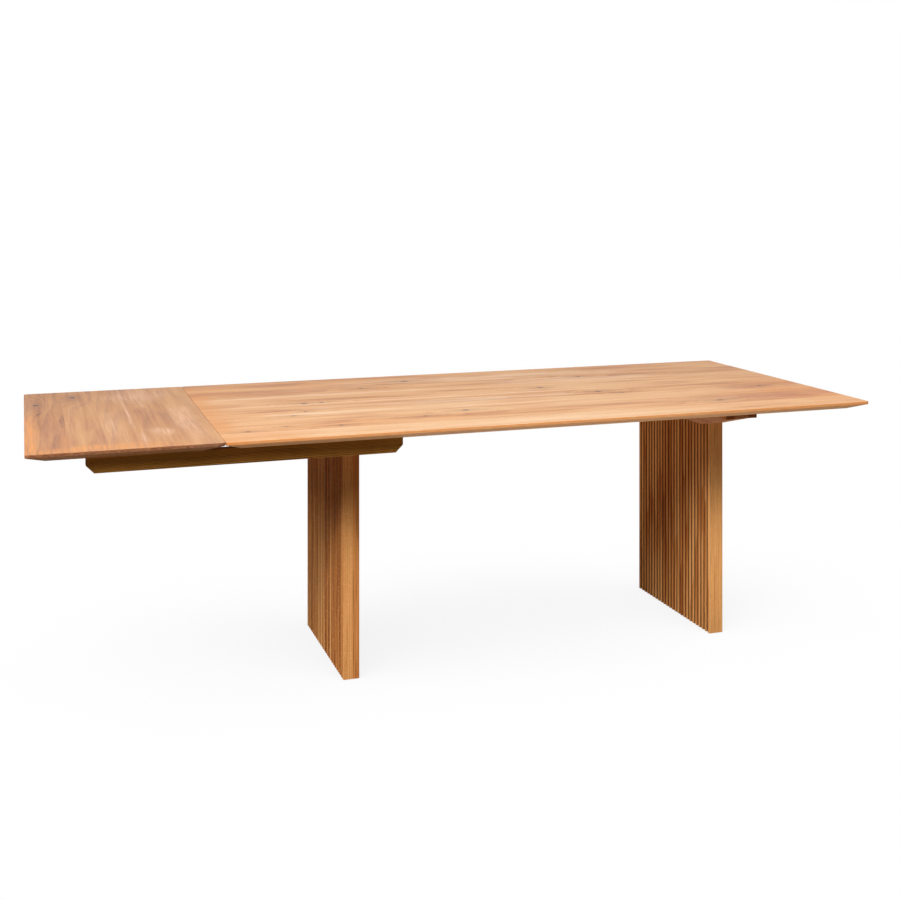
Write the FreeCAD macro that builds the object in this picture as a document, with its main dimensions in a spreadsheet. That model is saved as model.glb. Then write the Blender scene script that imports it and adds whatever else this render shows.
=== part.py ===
import FreeCAD, Part
import Sketcher
import math
import os

# Solid oak dining table with two ribbed panel legs and a loose end leaf that
# lies on two pull-out rails. Millimetres; X along the table with the leaf at
# the -X end, Y across it, Z up. The origin is on the floor, under the middle
# of the table with its leaf on.

doc = FreeCAD.newDocument("leaf_table")

SIZES = [
    # the two boards of the table top
    ("table_height", 762, "floor to the top surface"),
    ("table_width", 1000, "both boards, across the table"),
    ("main_length", 2000, "main top, along the table"),
    ("leaf_length", 500, "end leaf, along the table"),
    ("board_thick", 27, "both boards"),
    ("edge_band", 8, "upright edge left above the bevel"),
    ("bevel_run", 50, "width of the bevel under every edge"),
    ("corner_round", 10, "radius of the boards' corners, seen from above"),
    ("top_round", 1.5, "softened upper edge of the boards"),
    # the legs
    ("leg_spacing", 1200, "between the middles of the two legs"),
    ("leg_width", 500, "across the table"),
    ("outer_layer", 28, "ribbed board on a leg's outer side"),
    ("inner_layer", 20, "ribbed board on a leg's inner side"),
    ("groove_count", 24, "grooves in each ribbed face"),
    ("rib_wide", 12, "each rib between two grooves"),
    ("groove_deep", 5, "depth of the grooves"),
    ("groove_flare", 1, "softened edge at the mouth of a groove"),
    ("leg_ease", 2, "softened upright corners of a leg"),
    ("glide_radius", 15, "felt glides under the legs"),
    ("glide_thick", 2, "felt glides under the legs"),
    ("glide_inset", 32.5, "middle of the outer glides to the leg's narrow faces"),
    # the yoke on top of each leg, and the cleats that hold it to the top
    ("yoke_tall", 73, "yoke over the leg"),
    ("tip_tall", 20, "yoke at its two tips"),
    ("tip_gap", 10, "between a yoke's tip and the rail that passes it"),
    ("knee_setback", 297, "where the taper would meet the level underside"),
    ("knee_round", 400, "soft bend between taper and level underside"),
    ("cleat_wide", 30, "strips along both sides of a yoke"),
    ("cleat_tall", 20, "strips along both sides of a yoke"),
    # the pull-out rails and what guides them
    ("rail_length", 850, "each rail"),
    ("rail_thick", 30, "each rail, across the table"),
    ("rail_tall", 42, "each rail, upright"),
    ("rail_setback", 55, "rail's outer face to the edge of the top"),
    ("rail_reach", 350, "how far a drawn-out rail stands out of the main top"),
    ("rail_nose", 21, "cut-off lower corners of a rail"),
    ("rail_round", 2.5, "softened edges of a rail's outer face"),
    ("running_gap", 0.3, "clearance round everything that slides or lifts off"),
    ("guide_thick", 28, "guide and leaf cleat, across the table"),
    ("guide_tall", 34, "guide and leaf cleat, upright"),
    ("guide_inset", 15, "guide's outer end to the bevel of the main top"),
    ("guide_gap", 11, "guide's inner end to the cleat of the left leg"),
    ("tongue_tall", 12, "tongue of the guide, in the rail's groove"),
    ("tongue_deep", 10, "tongue of the guide, in the rail's groove"),
    ("groove_floor_gap", 2, "between the tongue and the floor of its groove"),
    ("stop_gap", 1, "left at each end of the groove when the rail is at its stop"),
    ("leaf_cleat_length", 230, "locating cleat under the leaf, inside each rail"),
    ("leaf_cleat_inset", 20, "cleat's end to the bevel at the joint"),
    ("cleat_ease", 3, "softened lower edges of guides and leaf cleats"),
    ("pad_radius", 7, "rubber pads let into the top of a rail"),
    ("pad_thick", 3, "rubber pads let into the top of a rail"),
    ("pad_inset", 60, "outer pad to the rail's end"),
    ("pad_step", 210, "between the two pads of a rail"),
    # screws, bolts, inserts and dowels
    ("fit_gap", 0.1, "between a fastener and its hole, all round"),
    ("screw_radius", 2.5, "shank of the wood screws"),
    ("screw_head_radius", 5, "head of the wood screws"),
    ("screw_bite", 16, "how deep a screw goes into the board it holds"),
    ("screw_point", 4, "tapered point"),
    ("drive_wide", 3.5, "hexagon socket in the screw heads"),
    ("screw_edge", 35, "outer screws to the end of a guide or leaf cleat"),
    ("washer_thick", 1.5, "washers under the cleats' screws and the bolts"),
    ("washer_margin", 1.5, "washer beyond the head that it carries"),
    ("pan_head_tall", 3, "heads of the screws in the slots"),
    ("slot_play", 4, "travel each way of a screw in its slot, across the table"),
    ("top_screw_step", 165, "between the screws that hold a cleat to the top"),
    ("side_screw_near", 82, "inner cleat-to-yoke screws, from the middle"),
    ("side_screw_far", 248, "outer cleat-to-yoke screws, from the middle"),
    ("bolt_radius", 4, "bolts that hold a leg to its yoke"),
    ("bolt_bite", 22.5, "how deep a bolt goes into its insert"),
    ("bolt_head_radius", 6.5, "cylinder head"),
    ("bolt_head_tall", 8, "cylinder head"),
    ("bolt_socket", 6, "hexagon socket of the bolts"),
    ("bolt_sink", 12, "depth of the counterbore in the yoke"),
    ("bolt_step", 80, "between the bolts of a leg"),
    ("insert_radius", 6, "threaded insert in the leg"),
    ("insert_length", 25, "threaded insert in the leg"),
    ("insert_relief", 6, "hole left below an insert"),
    ("dowel_radius", 4, "dowels between the yoke and a leg's inner board"),
    ("dowel_length", 50, "half in the yoke and half in the leg"),
    ("dowel_step", 180, "between the two dowels of a leg"),
]

sizes = doc.addObject("Spreadsheet::Sheet", "sizes")
for line, (alias, value, note) in enumerate(SIZES, start=1):
    sizes.set("A%d" % line, note)
    sizes.set("B%d" % line, str(value))
    sizes.setAlias("B%d" % line, alias)
doc.recompute()


def size(alias):
    """A value of the sheet as a plain number."""
    return float(sizes.get(alias))


# Places that several pieces share, as formulas on the sheet.
UNDERSIDE = "(sizes.table_height - sizes.board_thick)"
HALF_WIDTH = "(sizes.table_width / 2)"
JOINT_X = "(sizes.leaf_length / 2 - sizes.main_length / 2)"
MAIN_X = "(sizes.leaf_length / 2)"
LEAF_X = "(-sizes.main_length / 2)"
LEG_THICK = "(sizes.outer_layer + sizes.inner_layer)"
GLUE_LINE = "(%s / 2 - sizes.inner_layer)" % LEG_THICK
KNEE_Y = "(%s - sizes.knee_setback)" % HALF_WIDTH
RAIL_Y = "(%s - sizes.rail_setback - sizes.rail_thick / 2)" % HALF_WIDTH
TIP_Y = "(%s - sizes.rail_thick / 2 - sizes.tip_gap)" % RAIL_Y
RAIL_X = "(%s - sizes.rail_reach)" % JOINT_X
RAIL_TRAVEL = "(sizes.rail_reach + sizes.bevel_run)"
GUIDE_X = "(%s + sizes.bevel_run + sizes.guide_inset)" % JOINT_X
GUIDE_END = "(%s - sizes.leg_spacing / 2 - %s / 2 - sizes.cleat_wide - sizes.guide_gap)" % (
    MAIN_X, LEG_THICK)
GUIDE_LENGTH = "(%s - %s)" % (GUIDE_END, GUIDE_X)
GUIDE_Y = "(%s - sizes.rail_thick / 2 - sizes.running_gap)" % RAIL_Y
TONGUE_Z = "(-sizes.running_gap - sizes.rail_tall / 2)"
LEAF_CLEAT_X = "(%s - sizes.bevel_run - sizes.leaf_cleat_inset - sizes.leaf_cleat_length)" % JOINT_X

# The same places as numbers, for the fasteners.
underside = size("table_height") - size("board_thick")
joint_x = (size("leaf_length") - size("main_length")) / 2
main_x = size("leaf_length") / 2
leg_thick = size("outer_layer") + size("inner_layer")
yoke_bottom = underside - size("yoke_tall")
leg_x = {"left": main_x - size("leg_spacing") / 2, "right": main_x + size("leg_spacing") / 2}
rail_y = size("table_width") / 2 - size("rail_setback") - size("rail_thick") / 2
rail_x = joint_x - size("rail_reach")
rail_top = underside - size("running_gap")
guide_x = joint_x + size("bevel_run") + size("guide_inset")
guide_length = (leg_x["left"] - leg_thick / 2 - size("cleat_wide") - size("guide_gap")
                - guide_x)
guide_y = rail_y - size("rail_thick") / 2 - size("running_gap") - size("guide_thick") / 2
leaf_cleat_x = (joint_x - size("bevel_run") - size("leaf_cleat_inset")
                - size("leaf_cleat_length"))

UP = FreeCAD.Vector(0, 0, 1)
DOWN = FreeCAD.Vector(0, 0, -1)
pieces = []


def bind(thing, **formulas):
    """Tie properties to the sheet; x, y and z stand for the placement's base."""
    for name, formula in formulas.items():
        path = "Placement.Base." + name if name in ("x", "y", "z") else name
        thing.setExpression(path, formula)


def keep(thing, label):
    """Name a finished piece and put it on the list that is exported."""
    thing.Label = label
    pieces.append(thing)
    return thing


def outline(body, role, corners, lift="0"):
    """A closed straight-sided outline on one of the body's own planes.

    Each corner is a pair of formulas; lift moves the outline off the plane.
    """
    sketch = body.newObject("Sketcher::SketchObject", body.Name + "_outline")
    support = next(f for f in body.Origin.OriginFeatures if f.Role == role)
    sketch.AttachmentSupport = [(support, "")]
    sketch.MapMode = "FlatFace"
    sketch.setExpression("AttachmentOffset.Base.z", lift)
    count = len(corners)
    turn = 2 * math.pi / count
    ring = [FreeCAD.Vector(100 * math.cos(turn * i), 100 * math.sin(turn * i), 0)
            for i in range(count)]
    for i in range(count):
        sketch.addGeometry(Part.LineSegment(ring[i], ring[(i + 1) % count]), False)
    for i in range(count):
        sketch.addConstraint(Sketcher.Constraint("Coincident", i, 2, (i + 1) % count, 1))
    for i, formulas in enumerate(corners):
        starts = (("DistanceX", ring[i].x), ("DistanceY", ring[i].y))
        for (kind, start), formula in zip(starts, formulas):
            number = sketch.addConstraint(Sketcher.Constraint(kind, -1, 1, i, 1, start))
            sketch.setExpression("Constraints[%d]" % number, formula)
    return sketch


def rectangle(low_x, low_y, high_x, high_y):
    return [(low_x, low_y), (high_x, low_y), (high_x, high_y), (low_x, high_y)]


def pad(body, sketch, length, symmetric=False):
    feature = body.newObject("PartDesign::Pad", body.Name + "_pad")
    feature.Profile = sketch
    feature.Midplane = symmetric
    feature.setExpression("Length", length)
    body.Tip = feature
    doc.recompute()
    return feature


def pocket(body, sketch, depth=None, reversed_cut=False):
    """Cut a sketch into the body: through everything both ways, or to a depth."""
    before = body.Tip.Shape.Volume
    feature = body.newObject("PartDesign::Pocket", body.Name + "_pocket")
    feature.Profile = sketch
    if depth is None:
        feature.Type = "ThroughAll"
        feature.Midplane = True
    else:
        feature.Reversed = reversed_cut
        feature.setExpression("Length", depth)
    body.Tip = feature
    doc.recompute()
    if not feature.Shape.Volume < before:
        raise RuntimeError("%s cuts nothing" % feature.Name)
    return feature


def edges_where(feature, test):
    """Names of the feature's edges whose bounding box passes the test."""
    names = ["Edge%d" % number for number, edge in enumerate(feature.Shape.Edges, start=1)
             if test(edge.BoundBox)]
    if not names:
        raise RuntimeError("no such edge on %s" % feature.Name)
    return names


def soften(body, kind, test, **formulas):
    """A fillet or chamfer on the edges of the body's tip that pass the test."""
    base = body.Tip
    feature = body.newObject("PartDesign::" + kind, body.Name + "_" + kind.lower())
    feature.Base = (base, edges_where(base, test))
    if len(formulas) == 2:
        feature.ChamferType = "Two distances"
    for name, formula in formulas.items():
        feature.setExpression(name, formula)
    body.Tip = feature
    doc.recompute()
    return feature


def new_body(name):
    return doc.addObject("PartDesign::Body", name)


def near(value, target):
    return abs(value - target) < 1e-4


def upright(box):
    return box.ZLength > 1 and box.XLength < 1e-4 and box.YLength < 1e-4


# ---- fasteners: shapes worked out in code, in groups of like ones ----

def hexagon(spot, way, across, depth):
    """A hexagonal prism that starts at spot and runs along way."""
    side = way.cross(UP) if abs(way.z) < 0.5 else FreeCAD.Vector(1, 0, 0)
    other = way.cross(side)
    reach = across / math.sqrt(3)
    ring = [spot + side * (reach * math.cos(math.pi * i / 3))
            + other * (reach * math.sin(math.pi * i / 3)) for i in range(7)]
    return Part.Face(Part.makePolygon(ring)).extrude(way * depth)


def wood_screw(spot, way, length, slack=0.0):
    """A countersunk screw with its head flush at spot; with slack, its hole."""
    shank = size("screw_radius") + slack
    head = size("screw_head_radius") + slack
    point = size("screw_point")
    solid = Part.makeCone(head, shank, head - shank, spot, way)
    solid = solid.fuse(Part.makeCylinder(shank, length - point, spot, way))
    tip = Part.makeCone(shank, shank / 5, point + slack, spot + way * (length - point), way)
    solid = solid.fuse(tip).removeSplitter()
    if slack:
        return solid
    return solid.cut(hexagon(spot, way, size("drive_wide"), size("screw_head_radius") / 2))


def slot_screw(spot, way, length, slack=0.0):
    """A pan-head screw that hangs its washer's thickness below spot."""
    seat = spot - way * size("washer_thick")
    shank = size("screw_radius") + slack
    point = size("screw_point")
    start = spot if slack else seat
    run = length - point if slack else length - point + size("washer_thick")
    solid = Part.makeCylinder(shank, run, start, way)
    tip = Part.makeCone(shank, shank / 5, point + slack, spot + way * (length - point), way)
    solid = solid.fuse(tip).removeSplitter()
    if slack:
        return solid
    head = Part.makeCylinder(size("screw_head_radius"), size("pan_head_tall"),
                             seat - way * size("pan_head_tall"), way)
    drive = hexagon(seat - way * size("pan_head_tall"), way, size("drive_wide"),
                    size("pan_head_tall") * 0.7)
    return solid.fuse(head).removeSplitter().cut(drive)


def washer(spot, way, hole_radius, outer_radius):
    disc = Part.makeCylinder(outer_radius, size("washer_thick"), spot, way)
    return disc.cut(Part.makeCylinder(hole_radius, size("washer_thick"), spot, way))


def group(name, solids):
    """Several separate solids as one object."""
    feature = doc.addObject("Part::Feature", name)
    feature.Shape = Part.makeCompound(solids)
    return feature


def drilled(base, label, holes):
    """The base with the group's holes taken out of it."""
    cut = doc.addObject("Part::Cut", label)
    cut.Base = base
    cut.Tool = group(label + "_holes", holes)
    return keep(cut, label)


# ---- top boards: bevelled underneath on all four sides, corners rounded ----

def top_board(label, length, centre_x, holes):
    half_x = "(%s / 2)" % length
    corners = rectangle("-" + half_x, "-" + HALF_WIDTH, half_x, HALF_WIDTH)

    bevelled = new_body(label + "_bevelled")
    pad(bevelled, outline(bevelled, "XY_Plane", corners), "sizes.board_thick")
    soften(bevelled, "Chamfer", lambda box: near(box.ZMax, 0),
           Size="sizes.board_thick - sizes.edge_band", Size2="sizes.bevel_run")

    rounded = new_body(label + "_rounded")
    pad(rounded, outline(rounded, "XY_Plane", corners), "sizes.board_thick")
    soften(rounded, "Fillet", upright, Radius="sizes.corner_round")
    thick = size("board_thick")
    soften(rounded, "Fillet", lambda box: near(box.ZMin, thick), Radius="sizes.top_round")

    board = doc.addObject("Part::Common", label + "_board")
    board.Base = bevelled
    board.Tool = rounded
    bind(board, x=centre_x, z=UNDERSIDE)
    return drilled(board, label, holes)


# ---- yoke: a beam as thick as the leg, with a tapered arm at each end ----

def yoke_body(side):
    yoke = new_body(side + "_yoke_beam")
    tip_z = "(%s - sizes.tip_tall)" % UNDERSIDE
    low_z = "(%s - sizes.yoke_tall)" % UNDERSIDE
    corners = [("-" + TIP_Y, UNDERSIDE), ("-" + TIP_Y, tip_z), ("-" + KNEE_Y, low_z),
               (KNEE_Y, low_z), (TIP_Y, tip_z), (TIP_Y, UNDERSIDE)]
    pad(yoke, outline(yoke, "YZ_Plane", corners), LEG_THICK, symmetric=True)
    knee = size("table_width") / 2 - size("knee_setback")
    soften(yoke, "Fillet",
           lambda box: near(box.ZMax, yoke_bottom) and near(abs(box.YMin), knee)
           and near(box.YMin, box.YMax),
           Radius="sizes.knee_round")
    return yoke


# ---- ribbed boards: two glued layers make a leg, scribed to its yoke ----

def ribbed_board(side, layer, yoke):
    """The outer board lies towards -X before the leg is turned, the inner towards +X."""
    out = -1 if layer == "outer" else 1
    sign = "-" if layer == "outer" else ""
    face_x = "(%s%s / 2)" % (sign, LEG_THICK)
    back = "+" if layer == "outer" else "-"
    eased_x = "(%s %s sizes.leg_ease)" % (face_x, back)
    half = "(sizes.leg_width / 2)"
    eased_y = "(sizes.leg_width / 2 - sizes.leg_ease)"

    blank = new_body("%s_leg_%s_blank" % (side, layer))
    corners = [(GLUE_LINE, "-" + half), (eased_x, "-" + half), (face_x, "-" + eased_y),
               (face_x, eased_y), (eased_x, half), (GLUE_LINE, half)]
    pad(blank, outline(blank, "XY_Plane", corners, lift="sizes.glide_thick"),
        "%s - sizes.glide_thick" % UNDERSIDE)

    groove_wide = ("((sizes.leg_width - (sizes.groove_count + 1) * sizes.rib_wide)"
                   " / sizes.groove_count)")
    start = "(sizes.rib_wide - sizes.leg_width / 2)"
    end = "(%s + %s)" % (start, groove_wide)
    floor_x = "(%s %s sizes.groove_deep)" % (face_x, back)
    flare_x = "(%s %s sizes.groove_flare)" % (face_x, back)
    profile = [(face_x, "%s - sizes.groove_flare" % start), (flare_x, start),
               (floor_x, start), (floor_x, end), (flare_x, end),
               (face_x, "%s + sizes.groove_flare" % end)]
    groove_sketch = outline(blank, "XY_Plane", profile, lift="sizes.glide_thick")
    groove = pocket(blank, groove_sketch)
    pattern = blank.newObject("PartDesign::LinearPattern", blank.Name + "_grooves")
    pattern.Originals = [groove]
    pattern.Direction = (groove_sketch, ["V_Axis"])
    pattern.setExpression("Occurrences", "sizes.groove_count")
    pattern.setExpression(
        "Length", "(sizes.groove_count - 1) * (sizes.rib_wide + %s)" % groove_wide)
    blank.Tip = pattern

    scribed = doc.addObject("Part::Cut", "%s_leg_%s_scribed" % (side, layer))
    scribed.Base = blank
    scribed.Tool = yoke
    return scribed


# ---- a whole leg, built about its own middle and then set in its place ----

def leg(side):
    turned = side == "right"
    outwards = FreeCAD.Vector(1 if turned else -1, 0, 0)
    centre = FreeCAD.Vector(leg_x[side], 0, 0)
    place_x = MAIN_X + (" + " if turned else " - ") + "sizes.leg_spacing / 2"
    fit = size("fit_gap")

    def at(out, across, height):
        """A point given outwards from the leg's middle, across and up."""
        return centre + outwards * out + FreeCAD.Vector(0, across, height)

    # both layers are solid between the glue line and the floors of their grooves
    ribs_out = leg_thick / 2 - size("groove_deep")
    glue_out = leg_thick / 2 - size("inner_layer")

    # bolts from the yoke down into inserts in the outer board
    bolt_spots = [size("bolt_step") * (i - 1.5) for i in range(4)]
    bolt_out = (ribs_out - glue_out) / 2
    bolt_length = (size("yoke_tall") - size("bolt_sink") + size("washer_thick")
                   + size("bolt_bite"))
    seat_z = underside - size("bolt_sink")
    bolts, washers, inserts, bolt_holes, insert_holes = [], [], [], [], []
    for y in bolt_spots:
        shank_top = at(bolt_out, y, seat_z + size("washer_thick"))
        head = Part.makeCylinder(size("bolt_head_radius"), size("bolt_head_tall"), shank_top)
        shank = Part.makeCylinder(size("bolt_radius"), bolt_length, shank_top, DOWN)
        head_top = shank_top + UP * size("bolt_head_tall")
        socket = hexagon(head_top, DOWN, size("bolt_socket"), size("bolt_head_tall") / 2)
        bolts.append(head.fuse(shank).removeSplitter().cut(socket))
        washer_radius = size("bolt_head_radius") + size("washer_margin")
        washers.append(washer(at(bolt_out, y, seat_z), UP, size("bolt_radius") + fit,
                              washer_radius))
        mouth = Part.makeCylinder(washer_radius + fit, size("bolt_sink"),
                                  at(bolt_out, y, seat_z))
        through = Part.makeCylinder(size("bolt_radius") + fit, size("yoke_tall"),
                                    at(bolt_out, y, underside), DOWN)
        bolt_holes.append(mouth.fuse(through))
        insert_top = at(bolt_out, y, yoke_bottom)
        sleeve = Part.makeCylinder(size("insert_radius"), size("insert_length"),
                                   insert_top, DOWN)
        bore = Part.makeCylinder(size("bolt_radius") + fit, size("insert_length"),
                                 insert_top, DOWN)
        inserts.append(sleeve.cut(bore))
        insert_holes.append(Part.makeCylinder(
            size("insert_radius") + fit, size("insert_length") + size("insert_relief"),
            insert_top, DOWN))

    # dowels between the yoke and the inner board
    dowels, dowel_holes = [], []
    for y in (-size("dowel_step") / 2, size("dowel_step") / 2):
        foot = at(-(ribs_out + glue_out) / 2, y, yoke_bottom - size("dowel_length") / 2)
        dowels.append(Part.makeCylinder(size("dowel_radius"), size("dowel_length"), foot))
        dowel_holes.append(Part.makeCylinder(size("dowel_radius") + fit,
                                             size("dowel_length") + fit, foot - UP * fit / 2))

    # screws through the cleats: upwards in slots, and sideways into the yoke
    top_screws, top_washers, top_holes, slots = [], [], [], []
    side_screws, side_holes = [], []
    cleat_bottom = underside - size("cleat_tall")
    top_run = size("cleat_tall") + size("screw_bite")
    side_run = size("cleat_wide") + size("screw_bite")
    play = size("slot_play")
    for out in (-1, 1):
        middle = out * (leg_thick + size("cleat_wide")) / 2
        for i in range(5):
            spot = at(middle, size("top_screw_step") * (i - 2), cleat_bottom)
            top_screws.append(slot_screw(spot, UP, top_run))
            top_holes.append(slot_screw(spot, UP, top_run, slack=fit))
            top_washers.append(washer(spot, DOWN, size("screw_radius") + fit,
                                      size("screw_head_radius") + size("washer_margin")))
            wide = size("screw_radius") + fit
            ends = [Part.makeCylinder(wide, size("cleat_tall"),
                                      spot + FreeCAD.Vector(0, shift, 0))
                    for shift in (-play, play)]
            bar = Part.makeBox(2 * wide, 2 * play, size("cleat_tall"),
                               spot + FreeCAD.Vector(-wide, -play, 0))
            slots.append(bar.multiFuse(ends).removeSplitter())
        inwards = outwards * -out
        face = out * (leg_thick / 2 + size("cleat_wide"))
        for y in (-size("side_screw_far"), -size("side_screw_near"),
                  size("side_screw_near"), size("side_screw_far")):
            spot = at(face, y, underside - size("cleat_tall") / 2)
            side_screws.append(wood_screw(spot, inwards, side_run))
            side_holes.append(wood_screw(spot, inwards, side_run, slack=fit))

    yoke = yoke_body(side)
    for layer, holes in (("outer", insert_holes), ("inner", dowel_holes)):
        board = ribbed_board(side, layer, yoke)
        bind(board, x=place_x)
        if turned:
            board.Placement.Rotation = FreeCAD.Rotation(UP, 180)
        drilled(board, "%s_leg_%s_board" % (side, layer), holes)

    set_yoke = doc.addObject("Part::Compound", side + "_yoke_set")
    set_yoke.Links = [yoke]
    bind(set_yoke, x=place_x)
    if turned:
        set_yoke.Placement.Rotation = FreeCAD.Rotation(UP, 180)
    drilled(set_yoke, side + "_yoke", bolt_holes + dowel_holes + side_holes)

    for layer, out in (("outer", 1), ("inner", -1)):
        strip = doc.addObject("Part::Box", "%s_%s_strip" % (side, layer))
        bind(strip, Length="sizes.cleat_wide", Width="2 * %s" % TIP_Y,
             Height="sizes.cleat_tall")
        towards = 1 if turned == (out > 0) else -1
        beside = ("+ %s / 2" if towards > 0 else "- %s / 2 - sizes.cleat_wide") % LEG_THICK
        bind(strip, x="%s %s" % (place_x, beside), y="-" + TIP_Y,
             z="%s - sizes.cleat_tall" % UNDERSIDE)
        drilled(strip, "%s_%s_cleat" % (side, layer), slots + side_holes)

    glide_reach = size("leg_width") / 2 - size("glide_inset")
    glides = [Part.makeCylinder(size("glide_radius"), size("glide_thick"),
                                at(0, glide_reach * (2 * i / 3 - 1), 0)) for i in range(4)]
    hardware = {"_leg_bolts": bolts, "_bolt_washers": washers, "_leg_inserts": inserts,
                "_leg_dowels": dowels, "_cleat_top_screws": top_screws,
                "_cleat_washers": top_washers, "_cleat_side_screws": side_screws,
                "_leg_glides": glides}
    for name, solids in hardware.items():
        keep(group(side + name, solids), side + name)
    return top_holes


# ---- rails: drawn out from under the main top, they carry the leaf ----

def rail(side, out):
    """out is -1 for the front rail and 1 for the rear one."""
    stick = new_body(side + "_rail_stick")
    tall, long, nose = "sizes.rail_tall", "sizes.rail_length", "sizes.rail_nose"
    corners = [("0", tall), ("0", nose), (nose, "0"), ("%s - %s" % (long, nose), "0"),
               (long, nose), (long, tall)]
    pad(stick, outline(stick, "XZ_Plane", corners), "sizes.rail_thick", symmetric=True)
    outer = out * size("rail_thick") / 2
    rail_tall = size("rail_tall")
    soften(stick, "Fillet",
           lambda box: near(box.YMin, outer) and near(box.YMax, outer)
           and not near(box.ZMin, rail_tall),
           Radius="sizes.rail_round")

    # the stopped groove for the guide's tongue, in the inner face
    first = "(%s - %s - %s - sizes.stop_gap)" % (GUIDE_X, RAIL_X, RAIL_TRAVEL)
    last = "(%s - %s + sizes.stop_gap)" % (GUIDE_END, RAIL_X)
    low = "(sizes.rail_tall / 2 - sizes.tongue_tall / 2 - sizes.running_gap)"
    high = "(sizes.rail_tall / 2 + sizes.tongue_tall / 2 + sizes.running_gap)"
    lift = "%ssizes.rail_thick / 2" % ("-" if out < 0 else "")
    pocket(stick, outline(stick, "XZ_Plane", rectangle(first, low, last, high), lift=lift),
           depth="sizes.tongue_deep + sizes.groove_floor_gap - sizes.running_gap",
           reversed_cut=out < 0)

    placed = doc.addObject("Part::Compound", side + "_rail_placed")
    placed.Links = [stick]
    bind(placed, x=RAIL_X, y="%s%s" % ("-" if out < 0 else "", RAIL_Y),
         z="%s - sizes.running_gap - sizes.rail_tall" % UNDERSIDE)

    pads, pad_holes = [], []
    for i in range(2):
        foot = FreeCAD.Vector(rail_x + size("pad_inset") + i * size("pad_step"),
                              out * rail_y, rail_top - size("pad_thick"))
        pads.append(Part.makeCylinder(size("pad_radius"), size("pad_thick"), foot))
        pad_holes.append(Part.makeCylinder(size("pad_radius") + size("fit_gap"),
                                           size("pad_thick"), foot))
    drilled(placed, side + "_rail", pad_holes)
    keep(group(side + "_rail_pads", pads), side + "_rail_pads")


def three_screws(start_x, length, y):
    """Screws up through a guide or a leaf cleat into the board above it."""
    steps = (size("screw_edge"), length / 2, length - size("screw_edge"))
    run = size("guide_tall") + size("screw_bite")
    spots = [FreeCAD.Vector(start_x + step, y, underside - size("guide_tall"))
             for step in steps]
    screws = [wood_screw(spot, UP, run) for spot in spots]
    holes = [wood_screw(spot, UP, run, slack=size("fit_gap")) for spot in spots]
    return screws, holes


def bar_under_board(side, out, name, start_x, length, corners, number_x, number_length):
    """A guide or leaf cleat: its section padded along X, eased, drilled and screwed."""
    bar = new_body("%s_%s_bar" % (side, name))
    signed = [("%s%s" % ("-" if out < 0 else "", y), z) for y, z in corners]
    pad(bar, outline(bar, "YZ_Plane", signed), length)
    bottom = -size("guide_tall")
    soften(bar, "Chamfer", lambda box: near(box.ZMax, bottom), Size="sizes.cleat_ease")
    placed = doc.addObject("Part::Compound", "%s_%s_placed" % (side, name))
    placed.Links = [bar]
    bind(placed, x=start_x, z=UNDERSIDE)
    screws, holes = three_screws(number_x, number_length, out * guide_y)
    drilled(placed, "%s_%s" % (side, name), holes)
    keep(group("%s_%s_screws" % (side, name), screws), "%s_%s_screws" % (side, name))
    return holes


# ---- the object, piece by piece ----

main_holes = []
for leg_side in ("left", "right"):
    main_holes += leg(leg_side)

inner_y = "(%s - sizes.guide_thick)" % GUIDE_Y
guide_low = "-sizes.guide_tall"
tongue_top = "%s + sizes.tongue_tall / 2" % TONGUE_Z
tongue_low = "%s - sizes.tongue_tall / 2" % TONGUE_Z
tongue_y = "(%s + sizes.tongue_deep)" % GUIDE_Y
guide_section = [(GUIDE_Y, "0"), (GUIDE_Y, tongue_top), (tongue_y, tongue_top),
                 (tongue_y, tongue_low), (GUIDE_Y, tongue_low), (GUIDE_Y, guide_low),
                 (inner_y, guide_low), (inner_y, "0")]
cleat_section = [(GUIDE_Y, "0"), (GUIDE_Y, guide_low), (inner_y, guide_low), (inner_y, "0")]
leaf_holes = []
for rail_side, way_out in (("front", -1), ("rear", 1)):
    rail(rail_side, way_out)
    main_holes += bar_under_board(rail_side, way_out, "rail_guide", GUIDE_X,
                                  GUIDE_LENGTH, guide_section, guide_x, guide_length)
    leaf_holes += bar_under_board(rail_side, way_out, "leaf_cleat", LEAF_CLEAT_X,
                                  "sizes.leaf_cleat_length", cleat_section,
                                  leaf_cleat_x, size("leaf_cleat_length"))

top_board("main_top", "sizes.main_length", MAIN_X, main_holes)
top_board("extension_leaf", "sizes.leaf_length", LEAF_X, leaf_holes)
doc.recompute()

# ---- check everything, then write one file for each piece ----

for thing in doc.Objects:
    if {"Invalid", "Error"} & set(thing.State):
        raise RuntimeError("%s failed: %s" % (thing.Name, thing.State))
for piece in pieces:
    if piece.Shape.isNull() or not piece.Shape.isValid() or not piece.Shape.Solids:
        raise RuntimeError("%s has no valid shape" % piece.Label)

os.makedirs("parts", exist_ok=True)
for piece in pieces:
    piece.Shape.exportStep(os.path.join("parts", piece.Label + ".step"))
    print("%-28s %2d solids %12.1f mm3" % (piece.Label, len(piece.Shape.Solids),
                                           piece.Shape.Volume))
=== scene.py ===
import math

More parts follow.
